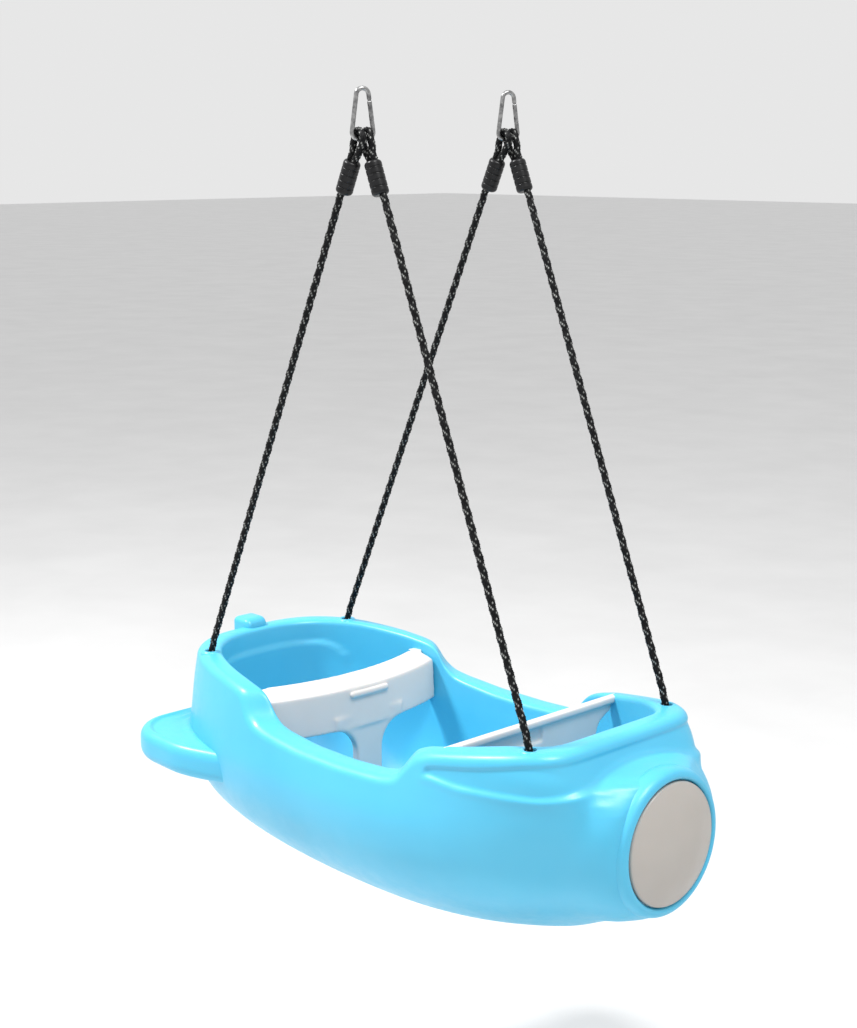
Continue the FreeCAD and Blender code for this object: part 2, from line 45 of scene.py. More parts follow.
# shapes are worked out in millimetres with z = 0 on the swing axis
def toFrame(points):
    points = np.asarray(points, dtype=float).reshape(-1, 3)
    return (points - (0.0, 0.0, saddleDrop)) * mm


def makeMesh(name, verts, faces, material, smooth=True):
    mesh = bpy.data.meshes.new(name)
    mesh.from_pydata([tuple(v) for v in verts], [], [tuple(f) for f in faces])
    mesh.validate()
    mesh.polygons.foreach_set("use_smooth", [smooth] * len(mesh.polygons))
    mesh.materials.append(material)
    obj = bpy.data.objects.new(name, mesh)
    bpy.context.scene.collection.objects.link(obj)
    return obj


def faceOutwards(obj):
    bm = bmesh.new()
    bm.from_mesh(obj.data)
    bmesh.ops.remove_doubles(bm, verts=bm.verts, dist=1e-7)
    bmesh.ops.recalc_face_normals(bm, faces=bm.faces)
    bm.to_mesh(obj.data)
    bm.free()
    obj.data.update()


def applyModifiers(obj):
    graph = bpy.context.evaluated_depsgraph_get()
    graph.update()
    mesh = bpy.data.meshes.new_from_object(obj.evaluated_get(graph))
    obj.modifiers.clear()
    obj.data = mesh
    return obj


def subdivide(obj, levels=1):
    modifier = obj.modifiers.new("subdivision", "SUBSURF")
    modifier.levels = levels
    modifier.render_levels = levels
    return applyModifiers(obj)


def smoothByAngle(obj, degrees):
    obj.data.polygons.foreach_set("use_smooth", [True] * len(obj.data.polygons))
    bm = bmesh.new()
    bm.from_mesh(obj.data)
    limit = math.radians(degrees)
    for edge in bm.edges:
        edge.smooth = len(edge.link_faces) != 2 or edge.calc_face_angle() < limit
    bm.to_mesh(obj.data)
    bm.free()


# quads between closed rings of points, with a fan to one point at each open end
def closedGrid(rings, bottom=None, top=None, loop=False):
    rings = [np.asarray(r, dtype=float) for r in rings]
    size = len(rings[0])
    verts = np.vstack(rings)
    faces = []
    pairs = list(zip(range(len(rings)), range(1, len(rings))))
    if loop:
        pairs.append((len(rings) - 1, 0))
    for a, b in pairs:
        for k in range(size):
            nxt = (k + 1) % size
            faces.append((a * size + k, a * size + nxt, b * size + nxt, b * size + k))
    if bottom is not None:
        verts = np.vstack([verts, [bottom]])
        faces += [((k + 1) % size, k, len(verts) - 1) for k in range(size)]
    if top is not None:
        verts = np.vstack([verts, [top]])
        last = (len(rings) - 1) * size
        faces += [(last + k, last + (k + 1) % size, len(verts) - 1) for k in range(size)]
    return verts, faces


# a closed piece with its faces outwards and one level of subdivision
def roundedPiece(name, verts, faces, material):
    obj = makeMesh(name, verts, faces, material)
    faceOutwards(obj)
    return subdivide(obj)


def fitToFrame(obj, body, node):
    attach(obj, body)
    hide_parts(node)


# node helpers
class NodeTree:
    def __init__(self, tree):
        self.tree = tree
        self.column = 0

    def add(self, kind, inputs=None, **settings):
        node = self.tree.nodes.new(kind)
        self.column += 1
        node.location = (self.column * 180, 0)
        for key, value in settings.items():
            setattr(node, key, value)
        for key, value in (inputs or {}).items():
            socket = node.inputs[key]
            if isinstance(value, bpy.types.NodeSocket):
                self.tree.links.new(value, socket)
            else:
                socket.default_value = value
        return node

    def maths(self, operation, a, b=0.0):
        return self.add("ShaderNodeMath", {0: a, 1: b}, operation=operation).outputs[0]


def newMaterial(name, settings):
    material = bpy.data.materials.new(name)
    material.use_nodes = True
    nodes = NodeTree(material.node_tree)
    shader = material.node_tree.nodes["Principled BSDF"]
    for key, value in settings.items():
        shader.inputs[key].default_value = value
    return material, nodes, shader


def ramp(nodes, factor, stops):
    node = nodes.add("ShaderNodeValToRGB", {0: factor})
    while len(node.color_ramp.elements) < len(stops):
        node.color_ramp.elements.new(0.5)
    for element, (position, colour) in zip(node.color_ramp.elements, stops):
        element.position = position
        element.color = (*colour, 1.0)
    return node.outputs[0]


def noise(nodes, coords, scale, detail=3.0, roughness=0.55):
    node = nodes.add("ShaderNodeTexNoise", {"Vector": coords, "Scale": scale, "Detail": detail,
                                            "Roughness": roughness})
    return node.outputs[0]


def bump(nodes, shader, height, distance, strength=1.0, normal=None):
    inputs = {"Height": height, "Distance": distance, "Strength": strength}
    if normal is not None:
        inputs["Normal"] = normal
    node = nodes.add("ShaderNodeBump", inputs)
    nodes.tree.links.new(node.outputs[0], shader.inputs["Normal"])
    return node.outputs[0]


mouldedPlastics = {
    "hullBlue": {"deep": (0.066, 0.455, 0.69), "pale": (0.086, 0.51, 0.75), "roughness": 0.36,
                 "grain": 0.00007, "coat": 0.12},
    "trimWhite": {"deep": (0.60, 0.59, 0.58), "pale": (0.68, 0.67, 0.66), "roughness": 0.42,
                  "grain": 0.00006, "coat": 0.0},
    "capGrey": {"deep": (0.40, 0.375, 0.345), "pale": (0.47, 0.44, 0.41), "roughness": 0.40,
                "grain": 0.00006, "coat": 0.0},
}


# moulded polyethylene: a faint orange peel, slow shade changes and a few duller rubbed patches
def mouldedPlastic(name, look):
    material, nodes, shader = newMaterial(name, {
        "Coat Weight": look["coat"], "Coat Roughness": 0.2, "Specular IOR Level": 0.5,
        "Subsurface Weight": 0.06, "Subsurface Scale": 0.01})
    coords = nodes.add("ShaderNodeTexCoord").outputs["Object"]
    clouds = noise(nodes, coords, 5.0)
    shade = ramp(nodes, clouds, [(0.3, look["deep"]), (0.7, look["pale"])])
    nodes.tree.links.new(shade, shader.inputs["Base Color"])
    scuffs = noise(nodes, coords, 38.0, 6.0, 0.7)
    dull = nodes.add("ShaderNodeMapRange", {"Value": scuffs, "From Min": 0.35, "From Max": 0.75,
                                            "To Min": look["roughness"] - 0.05,
                                            "To Max": look["roughness"] + 0.12}).outputs[0]
    nodes.tree.links.new(dull, shader.inputs["Roughness"])
    peel = noise(nodes, coords, 420.0, 2.0)
    waves = noise(nodes, coords, 26.0, 1.0)
    lower = bump(nodes, shader, waves, 0.0006, 0.35)
    bump(nodes, shader, peel, look["grain"], 0.8, lower)
    return material


hullBlue = mouldedPlastic("hullBlue", mouldedPlastics["hullBlue"])
trimWhite = mouldedPlastic("trimWhite", mouldedPlastics["trimWhite"])
capGrey = mouldedPlastic("capGrey", mouldedPlastics["capGrey"])


steelLook = {"dark": (0.16, 0.16, 0.165), "light": (0.42, 0.42, 0.415), "roughness": 0.26}


# zinc-plated wire: bright, with faint drawing lines and cloudy plating
def platedSteel(name, look):
    material, nodes, shader = newMaterial(name, {"Metallic": 1.0})
    coords = nodes.add("ShaderNodeTexCoord").outputs["Object"]
    clouds = noise(nodes, coords, 160.0, 4.0)
    shade = ramp(nodes, clouds, [(0.3, look["dark"]), (0.65, look["light"])])
    nodes.tree.links.new(shade, shader.inputs["Base Color"])
    dull = nodes.add("ShaderNodeMapRange", {"Value": clouds, "To Min": look["roughness"] - 0.08,
                                            "To Max": look["roughness"] + 0.18}).outputs[0]
    nodes.tree.links.new(dull, shader.inputs["Roughness"])
    lines = noise(nodes, nodes.add("ShaderNodeMapping", {"Vector": coords, "Scale": (900, 900, 60)}
                                   ).outputs[0], 1.0, 2.0)
    bump(nodes, shader, lines, 0.00005, 0.6)
    return material


hookSteel = platedSteel("hookSteel", steelLook)


ferruleLook = {"deep": (0.002, 0.002, 0.0024), "pale": (0.008, 0.008, 0.009)}


def blackMoulding(name, look):
    material, nodes, shader = newMaterial(name, {"Specular IOR Level": 0.3})
    coords = nodes.add("ShaderNodeTexCoord").outputs["Object"]
    clouds = noise(nodes, coords, 90.0, 4.0)
    shade = ramp(nodes, clouds, [(0.3, look["deep"]), (0.7, look["pale"])])
    nodes.tree.links.new(shade, shader.inputs["Base Color"])
    dull = nodes.add("ShaderNodeMapRange", {"Value": clouds, "To Min": 0.22, "To Max": 0.46}).outputs[0]
    nodes.tree.links.new(dull, shader.inputs["Roughness"])
    bump(nodes, shader, noise(nodes, coords, 700.0, 2.0), 0.00006, 0.7)
    return material


ferruleBlack = blackMoulding("ferruleBlack", ferruleLook)


# the tracer colour is pale thread shown brightest on each strand's crown: partly thread colour, partly a
# painted highlight
ropeLook = {"thread": (0.0015, 0.0015, 0.002), "highlight": (0.006, 0.0063, 0.007),
            "tracer": (0.46, 0.47, 0.45), "roughness": 0.55, "sheen": 0.02}


# the weave and the tracer threads come with the mesh as attributes; the tracer flecks are pale threads
# painted brightest on the strand crowns, so they are partly a painted highlight
def braidMaterial(name, look):
    material, nodes, shader = newMaterial(name, {
        "Sheen Weight": look["sheen"], "Sheen Roughness": 0.4, "Specular IOR Level": 0.16})
    weave = nodes.add("ShaderNodeAttribute", attribute_name="weave").outputs["Fac"]
    tracer = nodes.add("ShaderNodeAttribute", attribute_name="tracer").outputs["Fac"]
    # the thread colour turns lighter towards each strand's crown: a painted highlight on every strand
    shade = ramp(nodes, weave, [(0.25, look["thread"]), (0.9, look["highlight"])])
    mix = nodes.tree.nodes.new("ShaderNodeMix")
    mix.data_type = "RGBA"
    nodes.tree.links.new(tracer, mix.inputs[0])
    nodes.tree.links.new(shade, mix.inputs[6])
    mix.inputs[7].default_value = (*look["tracer"], 1.0)
    nodes.tree.links.new(mix.outputs[2], shader.inputs["Base Color"])
    shader.inputs["Roughness"].default_value = look["roughness"]
    coords = nodes.add("ShaderNodeTexCoord").outputs["Object"]
    bump(nodes, shader, noise(nodes, coords, 1800.0, 2.0), 0.00015, 0.7)
    return material


braidBlack = braidMaterial("braidBlack", ropeLook)
print("stage: materials")


# camera
cameraView = {"place": (1.7821, -1.7668, -0.0689), "turn": 45.54, "down": 11.34, "lens": 64.37}
cameraData = bpy.data.cameras.new("camera")
cameraData.lens = cameraView["lens"]
cameraData.sensor_width = 36.0
camera = bpy.data.objects.new("camera", cameraData)
camera.location = cameraView["place"]
camera.rotation_euler = (math.radians(90 - cameraView["down"]), 0, math.radians(cameraView["turn"]))
bpy.context.scene.collection.objects.link(camera)
bpy.context.scene.camera = camera
bpy.context.scene.view_settings.view_transform = "Standard"
print("stage: camera")


# ropes
rope = {"size": 9.5, "eyeBend": 10.0, "eyeSpread": 5.1, "eyeTurn": 10.0, "hookTurn": 22.0,
        "strandGap": 5.0, "ferruleStart": 30.0, "ferruleLength": 46.0, "holeSide": 136.6,
        "rearHole": -344.9, "frontHole": 302.9, "holeTop": -751.0, "knotTop": -774.0,
        "strandsEachWay": 4, "cellLength": 5.2, "swell": 0.55, "twist": 0.45, "ringGap": 0.9}


def ropeRoute(end, side):
    turn = math.radians(rope["hookTurn"])
    along = Vector((math.sin(turn), math.cos(turn), 0))
    eye = Vector((0, side * rope["holeSide"], 0)) + along * (end * rope["eyeSpread"])
    hole = Vector((rope["frontHole"] if end > 0 else rope["rearHole"], side * rope["holeSide"],
                   rope["holeTop"]))
    turn = math.radians(rope["eyeTurn"])
    facing = Vector((math.sin(turn), math.cos(turn), 0)) * end
    out = -facing.cross(hole - eye).normalized()
    down = (hole - eye - out * rope["strandGap"]).normalized()
    out = (out - down * out.dot(down)).normalized()
    drop = (down - facing * down.dot(facing)).normalized()
    wide = -facing.cross(drop)
    gap, bend = rope["strandGap"], rope["eyeBend"]
    gather = rope["ferruleStart"] - 8
    foot = rope["ferruleStart"] + rope["ferruleLength"]
    return [
        Vector((hole.x, hole.y, rope["knotTop"])),
        hole,
        hole - down * 57,
        eye + down * (foot + 57) + out * gap,
        eye + down * (gather + 14) + out * gap,
        eye + down * gather + out * gap,
        eye + drop * 7 + wide * bend,
        eye - drop * bend + wide * bend,
        eye - drop * bend - wide * bend,
        eye + drop * 7 - wide * bend,
        eye + down * gather - out * gap,
        eye + down * (gather + 14) - out * gap,
        eye + down * (foot - 5) - out * gap,
    ]


def ropeLine(name, points):
    curve = bpy.data.curves.new(name, "CURVE")
    curve.dimensions = "3D"
    spline = curve.splines.new("NURBS")
    spline.points.add(len(points) - 1)
    for point, place in zip(spline.points, toFrame([tuple(p) for p in points])):
        point.co = (*place, 1.0)
    spline.order_u = 3
    spline.use_endpoint_u = True
    spline.resolution_u = 24
    obj = bpy.data.objects.new(name, curve)
    bpy.context.scene.collection.objects.link(obj)
    return obj


def lineReadings(obj):
    graph = bpy.context.evaluated_depsgraph_get()
    mesh = bpy.data.meshes.new_from_object(obj.evaluated_get(graph))
    return [v.co.copy() for v in mesh.vertices]


# a braid swept along a line: strands cross each other both ways round the rope
def braidTree():
    tree = bpy.data.node_groups.new("braid", "GeometryNodeTree")
    face = tree.interface
    face.new_socket("Geometry", in_out="INPUT", socket_type="NodeSocketGeometry")
    for name in ("Radius", "Ring Gap", "Strands Each Way", "Cell Length", "Swell", "Twist", "Tracer Every"):
        face.new_socket(name, in_out="INPUT", socket_type="NodeSocketFloat")
    face.new_socket("Seed", in_out="INPUT", socket_type="NodeSocketInt")
    face.new_socket("Material", in_out="INPUT", socket_type="NodeSocketMaterial")
    face.new_socket("Geometry", in_out="OUTPUT", socket_type="NodeSocketGeometry")
    g = NodeTree(tree)
    given = g.add("NodeGroupInput").outputs
    line = g.add("GeometryNodeResampleCurve", {"Curve": given["Geometry"], "Length": given["Ring Gap"]},
                 mode="LENGTH")
    run = g.add("GeometryNodeSplineParameter").outputs["Length"]
    line = g.add("GeometryNodeStoreNamedAttribute", {"Geometry": line.outputs[0], "Name": "run"},
                 data_type="FLOAT", domain="POINT")
    tree.links.new(run, line.inputs["Value"])
    ring = g.add("GeometryNodeCurvePrimitiveCircle", {"Resolution": 32, "Radius": given["Radius"]})
    step = g.maths("MULTIPLY", g.add("GeometryNodeInputIndex").outputs[0], math.tau / 32)
    ring = g.add("GeometryNodeStoreNamedAttribute", {"Geometry": ring.outputs[0], "Name": "round"},
                 data_type="FLOAT", domain="POINT")
    tree.links.new(step, ring.inputs["Value"])
    tube = g.add("GeometryNodeCurveToMesh", {"Curve": line.outputs[0], "Profile Curve": ring.outputs[0],
                                             "Fill Caps": True})
    runRead = g.add("GeometryNodeInputNamedAttribute", {"Name": "run"}, data_type="FLOAT").outputs[0]
    roundRead = g.add("GeometryNodeInputNamedAttribute", {"Name": "round"}, data_type="FLOAT").outputs[0]
    turns = g.maths("MULTIPLY", roundRead, given["Strands Each Way"])
    steps = g.maths("MULTIPLY", g.maths("DIVIDE", runRead, given["Cell Length"]), math.pi)
    left, right = g.maths("ADD", turns, steps), g.maths("SUBTRACT", turns, steps)
    weave = g.maths("MULTIPLY", g.maths("SINE", left), g.maths("SINE", right))
    raised = g.maths("ADD", g.maths("MULTIPLY", g.maths("ABSOLUTE", weave), 2.0), -0.8)
    spiral = g.maths("SINE", g.maths("ADD", roundRead, g.maths("MULTIPLY", steps, 0.55)))
    height = g.maths("ADD", g.maths("MULTIPLY", raised, given["Swell"]),
                     g.maths("MULTIPLY", spiral, given["Twist"]))
    normal = g.add("GeometryNodeInputNormal").outputs[0]
    offset = g.add("ShaderNodeVectorMath", {0: normal}, operation="SCALE")
    tree.links.new(height, offset.inputs["Scale"])
    shaped = g.add("GeometryNodeSetPosition", {"Geometry": tube.outputs[0], "Offset": offset.outputs[0]})
    weaveOut = g.add("GeometryNodeStoreNamedAttribute", {"Geometry": shaped.outputs[0], "Name": "weave"},
                     data_type="FLOAT", domain="POINT")
    tree.links.new(g.maths("ABSOLUTE", weave), weaveOut.inputs["Value"])
    strandA = g.maths("FLOOR", g.maths("DIVIDE", left, math.pi))
    strandB = g.maths("FLOOR", g.maths("DIVIDE", right, math.pi))
    over = g.maths("FLOORED_MODULO", g.maths("ADD", strandA, strandB), 2.0)
    lightA = g.maths("LESS_THAN", g.maths("FLOORED_MODULO", strandA, given["Tracer Every"]), 0.5)
    lightB = g.maths("LESS_THAN", g.maths("FLOORED_MODULO", strandB, given["Tracer Every"]), 0.5)
    shown = g.maths("ADD", g.maths("MULTIPLY", lightA, over),
                    g.maths("MULTIPLY", lightB, g.maths("SUBTRACT", 1.0, over)))
    cell = g.add("ShaderNodeCombineXYZ", {0: strandA, 1: strandB, 2: given["Seed"]}).outputs[0]
    chance = g.add("ShaderNodeTexWhiteNoise", {"Vector": cell}, noise_dimensions="3D").outputs["Value"]
    shown = g.maths("MULTIPLY", shown, g.maths("ADD", g.maths("MULTIPLY", chance, 0.6), 0.4))
    # the pale tracer threads show only on each strand's crown and fade at its sides: thread colour with a
    # painted highlight
    crown = g.add("ShaderNodeMapRange", {"Value": g.maths("ABSOLUTE", weave), "From Min": 0.3,
                                         "From Max": 0.75}).outputs[0]
    lit = g.maths("MULTIPLY", shown, crown)
    tracerAndHighlightOut = g.add("GeometryNodeStoreNamedAttribute", {"Geometry": weaveOut.outputs[0],
                                                          "Name": "tracer"},
                      data_type="FLOAT", domain="POINT")
    tree.links.new(lit, tracerAndHighlightOut.inputs["Value"])
    smooth = g.add("GeometryNodeSetShadeSmooth", {"Geometry": tracerAndHighlightOut.outputs[0]})
    real = g.add("GeometryNodeRealizeInstances", {"Geometry": smooth.outputs[0]})
    painted = g.add("GeometryNodeSetMaterial", {"Geometry": real.outputs[0],
                                                "Material": given["Material"]})
    g.add("NodeGroupOutput", {"Geometry": painted.outputs[0]})
    return tree


def useTree(obj, tree, values):
    modifier = obj.modifiers.new(tree.name, "NODES")
    modifier.node_group = tree
    for item in tree.interface.items_tree:
        if item.in_out == "INPUT" and item.name in values:
            modifier[item.identifier] = values[item.name]


braid = braidTree()
for endName, end in (("rear", -1), ("front", 1)):
    for sideName, side in (("right", -1), ("left", 1)):
        corner = endName + "_" + sideName
        route = ropeRoute(end, side)
        line = ropeLine("route_" + corner, route)
        path = lineReadings(line)
        useTree(line, braid, {
            "Radius": (rope["size"] / 2 - 0.15) * mm, "Ring Gap": rope["ringGap"] * mm,
            "Strands Each Way": float(rope["strandsEachWay"]), "Cell Length": rope["cellLength"] * mm,
            "Swell": rope["swell"] * mm, "Twist": rope["twist"] * mm, "Tracer Every": 4.0,
            "Seed": 3 + end + 2 * side, "Material": braidBlack})
        graph = bpy.context.evaluated_depsgraph_get()
        mesh = bpy.data.meshes.new_from_object(line.evaluated_get(graph))
        bpy.data.objects.remove(line)
        piece = bpy.data.objects.new("braid_" + corner, mesh)
        bpy.context.scene.collection.objects.link(piece)
        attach(piece, "swing")
        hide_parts("rope_" + corner)
print("stage: ropes")


# hull
hull = {
    # level, rear reach, front reach, half width, half width at the nose, roundness of the rear
    "outerLines": [(-1063, 60, 60, 16, 8, 2.0), (-1060, 128, 133, 38, 15, 2.0),
                   (-1055, 171, 177, 60, 20, 2.0), (-1035, 276, 261, 108, 33, 2.1),
                   (-1005, 368, 333, 155, 44, 2.3), (-970, 416, 385, 191, 64, 2.5),
                   (-930, 434, 413, 213, 88, 2.7), (-879, 438, 421, 221, 106, 2.9),
                   (-830, 434, 403, 213, 138, 3.0), (-790, 429, 371, 205, 153, 3.1),
                   (-745, 424, 345, 197, 152, 3.1)],
    "tubLines": [(-1000, 292, 258, 112, 70, 2.4), (-975, 325, 276, 133, 86, 2.5),
                 (-930, 358, 292, 153, 101, 2.7), (-850, 383, 305, 168, 111, 2.8),
                 (-760, 392, 313, 176, 117, 2.8), (-730, 396, 316, 178, 119, 2.8)],
    # the rim's height from tail to nose, low beside the child's legs
    "rimLine": [(-470, -746), (-345, -751), (-250, -760), (-205, -766), (-188, -772), (-172, -795),
                (-152, -808), (-125, -813), (-60, -819), (20, -820.5), (90, -818), (116, -813),
                (130, -796), (146, -779), (170, -771), (230, -762), (303, -751), (350, -748),
                (470, -746)],
    "columns": 224, "wallRows": 26, "fineRows": 25, "rowStep": 2.5,
    "rimRound": 13, "tubRound": 8, "tubFoot": -988.0, "tubFloor": -1000,
    "noseCentre": -879, "noseFace": 417, "noseTip": 424, "noseRing": 92, "noseFlare": 0.42,
    "noseDepth": 60, "noseBlend": 62, "noseRound": 5.5, "noseFade": 90,
    "panelSink": 4.4, "panelStart": 176,
    "backPanel": (-783, 122, 3.6),   # top level, half width and height of the pad on the backrest
}


beyondHull = 620.0   # farther from the middle than any wall
halvings = 34        # brings a reach within a thousandth of a millimetre


# the outline's sizes at a level, on smooth curves through the listed levels
def lineAt(level, lines):
    table = np.array(lines, dtype=float)
    slopes = np.gradient(table[:, 1:], table[:, 0], axis=0)
    level = np.clip(np.asarray(level, dtype=float), table[0, 0], table[-1, 0])
    k = np.clip(np.searchsorted(table[:, 0], level) - 1, 0, len(table) - 2)
    span = table[k + 1, 0] - table[k, 0]
    u = ((level - table[k, 0]) / span)[..., None]
    span = span[..., None]
    return ((2 * u**3 - 3 * u**2 + 1) * table[k, 1:] + (u**3 - 2 * u**2 + u) * span * slopes[k]
            + (3 * u**2 - 2 * u**3) * table[k + 1, 1:] + (u**3 - u**2) * span * slopes[k + 1])


def halfBreadth(x, rear, front, half, nose, power, square):
    back = np.clip(-x / rear, 0, 1)
    ahead = np.clip(x / front, 0, 1)
    rearHalf = half * np.power(np.maximum(1 - back**power, 0), 1 / power)
    frontHalf = (half - (half - nose) * ahead**2.5) * np.power(
        np.maximum(1 - ahead**square, 0), 1 / square)
    return np.where(x < 0, rearHalf, frontHalf)


# distance from the middle to the outline along each plan angle, at each level
def reachAt(angles, levels, lines, square=12.0):
    angles, levels = np.broadcast_arrays(angles, levels)
    rear, front, half, nose, power = np.moveaxis(lineAt(levels, lines), -1, 0)
    near, far = np.zeros(angles.shape), np.full(angles.shape, beyondHull)
    for _ in range(halvings):
        middle = (near + far) / 2
        x, y = middle * np.cos(angles), middle * np.abs(np.sin(angles))
        inside = (-rear < x) & (x < front) & (
            y < halfBreadth(x, rear, front, half, nose, power, square))
        near, far = np.where(inside, middle, near), np.where(inside, far, middle)
    return near


def smoothStep(value, low, high):
    u = np.clip((value - low) / (high - low), 0, 1)
    return u * u * (3 - 2 * u)


def smoothMax(a, b, width):
    share = np.clip(0.5 + 0.5 * (b - a) / width, 0, 1)
    return a * (1 - share) + b * share + width * share * (1 - share)


# the round nose: a blunt cone that the hull's sides run into
def noseReach(angles, levels):
    angles, levels = np.broadcast_arrays(angles, levels)
    near, far = np.zeros(angles.shape), np.full(angles.shape, beyondHull)
    for _ in range(halvings):
        middle = (near + far) / 2
        x, y = middle * np.cos(angles), middle * np.sin(angles)
        ring = hull["noseRing"] + hull["noseFlare"] * np.minimum(hull["noseTip"] - x, hull["noseDepth"])
        inside = (x < hull["noseFace"]) & (np.hypot(y, levels - hull["noseCentre"]) < ring)
        near, far = np.where(inside, middle, near), np.where(inside, far, middle)
    return np.where(np.cos(angles) > 0.2, near - hull["noseFade"] * smoothStep(levels, -794, -770), 0)


def rimHeight(x):
    grid = np.arange(-470, 471, 2.0)
    heights = np.interp(grid, *zip(*hull["rimLine"]))
    kernel = np.exp(-0.5 * (np.arange(-18, 19, 2.0) / 5.0) ** 2)
    kernel /= kernel.sum()
    padded = np.pad(heights, len(kernel) // 2, mode="edge")
    return np.interp(x, grid, np.convolve(padded, kernel, mode="valid"))


# closer together where the rim steps down and up beside the child
def hullColumns(count):
    fine = np.linspace(0, math.tau, 6001)
    reach = reachAt(fine, np.full(fine.shape, -765.0), hull["outerLines"])
    x, y = reach * np.cos(fine), reach * np.sin(fine)
    middle = (x[1:] + x[:-1]) / 2
    weight = 1 + 1.6 * np.exp(-((middle - 150) / 42) ** 2) + 1.2 * np.exp(-((middle + 180) / 34) ** 2)
    run = np.concatenate([[0], np.cumsum(np.hypot(np.diff(x), np.diff(y)) * weight)])
    return np.interp((np.arange(count) + 0.5) * run[-1] / count, run, fine)


# relief on the outside: a bead round the front's rim, and under it a shallow panel whose lower
# edge is a rounded ledge
def outerRelief(x, y, level, rim):
    depth = rim - level
    bead = 17 - 3 * smoothStep(x, 240, 340)
    crease = -806 + 5 * smoothStep(232 - x, 0, 56)
    crease = crease + np.where(x > 330, 24 * (1 - np.clip(np.abs(y) / 156, 0, 1) ** 1.5), 0)
    front = smoothStep(x, hull["panelStart"] - 2.5, hull["panelStart"] + 2.5)
    inPanel = front * smoothStep(depth, bead - 3, bead + 3) * smoothStep(level, crease - 1.5, crease + 4)
    onLedge = smoothStep(x, hull["panelStart"] - 14, hull["panelStart"] + 2) * np.exp(
        -((level - crease + 3) / 5.5) ** 2)
    return -hull["panelSink"] * inPanel + 1.2 * onLedge


# a raised pad on the backrest, a rounded rectangle
def tubRelief(x, y, level):
    top, half, height = hull["backPanel"]
    corner = 30.0
    across, up = np.abs(y) - half + corner, level - top + corner
    edge = np.hypot(np.maximum(across, 0), np.maximum(up, 0)) - corner
    edge = np.where((across < 0) & (up < 0), np.maximum(across, up) - corner, edge)
    return np.where(x < -150, -height * smoothStep(-edge, -2.5, 2.5), 0)


def hullRings():
    angles = hullColumns(hull["columns"])
    rough = reachAt(angles, np.full(angles.shape, -765.0), hull["outerLines"])
    rim = rimHeight((rough - 14) * np.cos(angles))
    rings = []

    def ring(reach, level):
        level = np.broadcast_to(level, angles.shape)
        rings.append(np.stack([reach * np.cos(angles), reach * np.sin(angles), level], axis=1))

    # the front is squarer at the rim than lower down, where it runs into the nose
    def outside(level):
        level = np.broadcast_to(level, angles.shape)
        square = 9 - (9 - hull["noseRound"]) * smoothStep(-level, 775, 835)
        reach = reachAt(angles, level, hull["outerLines"], square=square)
        reach = smoothMax(reach, noseReach(angles, level), hull["noseBlend"])
        ahead = np.maximum(np.cos(angles), 0.05)
        flat = -smoothMax(-reach, -hull["noseFace"] / ahead, 12.0)
        reach = np.where(np.cos(angles) > 0.2, flat, reach)
        x, y = reach * np.cos(angles), reach * np.sin(angles)
        return reach + outerRelief(x, y, level, rim)

    keel = hull["outerLines"][0][0]
    bilge = keel + 0.5   # the first row above the flat keel
    for share in (0.25, 0.55, 0.8):
        ring(share * outside(bilge), keel)
    top = rim - hull["rimRound"]
    shoulder = top - hull["rowStep"] * hull["fineRows"]
    for step in range(hull["wallRows"]):
        level = bilge + (shoulder - bilge) * (step / hull["wallRows"]) ** 1.3
        ring(outside(level), level)
    for step in range(hull["fineRows"] + 1):
        level = shoulder + step * hull["rowStep"]
        ring(outside(level), level)
    outer = outside(top)
    inner = reachAt(angles, rim - hull["tubRound"], hull["tubLines"])
    width = outer - inner
    outShare, inShare = np.minimum(16 / width, 0.5), np.minimum(10 / width, 0.3)
    for turn in (20, 40, 60, 78, 90):
        share = outShare * (1 - math.cos(math.radians(turn)))
        ring(outer - width * share, top + hull["rimRound"] * math.sin(math.radians(turn)))
    for step in (0.33, 0.67, 1.0):
        ring(outer - width * (outShare + (1 - outShare - inShare) * step), rim)
    for turn in (25, 50, 72, 90):
        share = 1 - inShare * (1 - math.sin(math.radians(turn)))
        ring(outer - width * share, rim - hull["tubRound"] * (1 - math.cos(math.radians(turn))))
    lip, foot = rim - hull["tubRound"], hull["tubFoot"]
    for step in list(range(1, 17)) + list(range(20, 61, 5)):
        level = lip + (foot - lip) * step / 60
        reach = reachAt(angles, level, hull["tubLines"])
        x, y = reach * np.cos(angles), reach * np.sin(angles)
        ring(reach + tubRelief(x, y, level), level)
    floor = reachAt(angles, np.full(angles.shape, foot), hull["tubLines"])
    for share, lift in ((0.985, 7.5), (0.95, 3), (0.89, 0.4), (0.7, 0), (0.4, 0), (0.15, 0)):
        ring(floor * share, hull["tubFloor"] + lift)
    return rings


verts, faces = closedGrid(hullRings(), bottom=(0, 0, hull["outerLines"][0][0]),
                          top=(0, 0, hull["tubFloor"]))
hullPiece = roundedPiece("hull", toFrame(verts), faces, hullBlue)


def cutAway(obj, cutter):
    modifier = obj.modifiers.new("cut", "BOOLEAN")
    modifier.operation = "DIFFERENCE"
    modifier.solver = "MANIFOLD"
    modifier.object = cutter
    applyModifiers(obj)
    bpy.data.objects.remove(cutter)


ropeBore = {"radius": 8.3, "low": -786, "high": -735, "sides": 40}


def boreRods(places):
    turns = np.linspace(0, math.tau, ropeBore["sides"], endpoint=False)
    circle = np.stack([np.cos(turns), np.sin(turns)], axis=1) * ropeBore["radius"]
    low, high = ropeBore["low"], ropeBore["high"]
    verts, faces = [], []
    for x, y in places:
        rings = [np.column_stack([circle + (x, y), np.full(len(circle), z)]) for z in (low, high)]
        rodVerts, rodFaces = closedGrid(rings, bottom=(x, y, low), top=(x, y, high))
        faces += [tuple(i + len(verts) for i in face) for face in rodFaces]
        verts += list(rodVerts)
    return verts, faces


